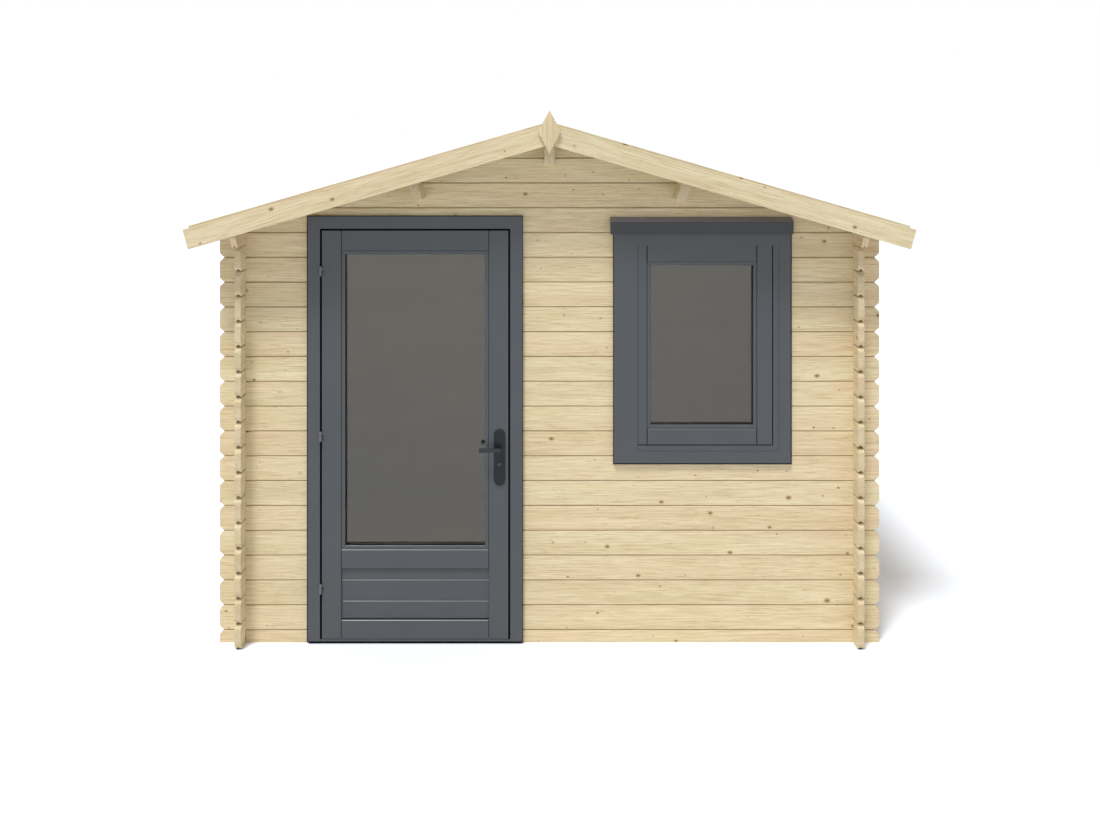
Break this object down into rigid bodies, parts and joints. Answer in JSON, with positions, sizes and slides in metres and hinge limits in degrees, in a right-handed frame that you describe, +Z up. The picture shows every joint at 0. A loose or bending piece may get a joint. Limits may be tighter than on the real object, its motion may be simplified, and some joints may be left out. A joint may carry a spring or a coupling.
{
  "type": "log garden house",
  "caption": "Small garden house of pale machined logs with a shallow gable roof, a glazed grey door on the left and a grey window on the right.",
  "frame": {"origin": "on the ground, in the middle of the plan", "axes": "+X along the front to the right as seen from in front, +Y from the front to the back, +Z up"},
  "size_m": [3.21, 2.7932, 2.4156],
  "materials": {
    "spruce": "matte",
    "painted_timber": "satin",
    "dark_timber": "satin",
    "hardware": "satin",
    "gasket": "matte",
    "pane": "gloss"
  },
  "bodies": {
    "house": {"front_wall_left": "spruce", "front_wall_below_window": "spruce", "front_wall_middle": "spruce", "front_wall_right": "spruce", "front_lintel_log": "spruce", "front_gable": "spruce", "back_wall": "spruce", "back_gable": "spruce", "left_wall": "spruce", "right_wall": "spruce", "left_eave_log": "spruce", "right_eave_log": "spruce", "floor_boards": "spruce", "ridge_purlin": "spruce", "left_purlin": "spruce", "right_purlin": "spruce", "left_roof_boards": "spruce", "right_roof_boards": "spruce", "eave_fascias": "spruce", "front_barge_boards": "spruce", "back_barge_boards": "spruce", "finials": "spruce", "door_post_left": "painted_timber", "door_post_right": "painted_timber", "door_head": "painted_timber", "door_threshold": "dark_timber", "window_posts": "painted_timber", "window_head": "painted_timber", "window_sill": "painted_timber", "window_drip_board": "dark_timber", "window_sash": "painted_timber", "window_beads": "painted_timber", "window_gasket": "gasket", "window_glass": "pane", "hinge_frame_halves": "hardware"},
    "door": {"hinge_leaf_halves": "hardware", "door_stiles": "painted_timber", "door_rails": "painted_timber", "door_panel": "painted_timber", "door_beads": "painted_timber", "door_gasket": "gasket", "door_glass": "pane", "handle_plates": "hardware", "lock_cylinder": "hardware"},
    "handle": {"door_levers": "hardware"}
  },
  "joints": [
    {"name": "door_hinge", "type": "hinge", "parent": "house", "child": "door", "pos_m": [-1.03625, -1.191, 0.943], "axis": [0, 0, -1], "range_deg": [0, 140]},
    {"name": "handle_turn", "type": "hinge", "parent": "door", "child": "handle", "pos_m": [-0.2265, -1.16, 0.89], "axis": [0, -1, 0], "range_deg": [0, 40], "stiffness_Nm_per_rad": 1.5, "springref_deg": -20.05}
  ]
}
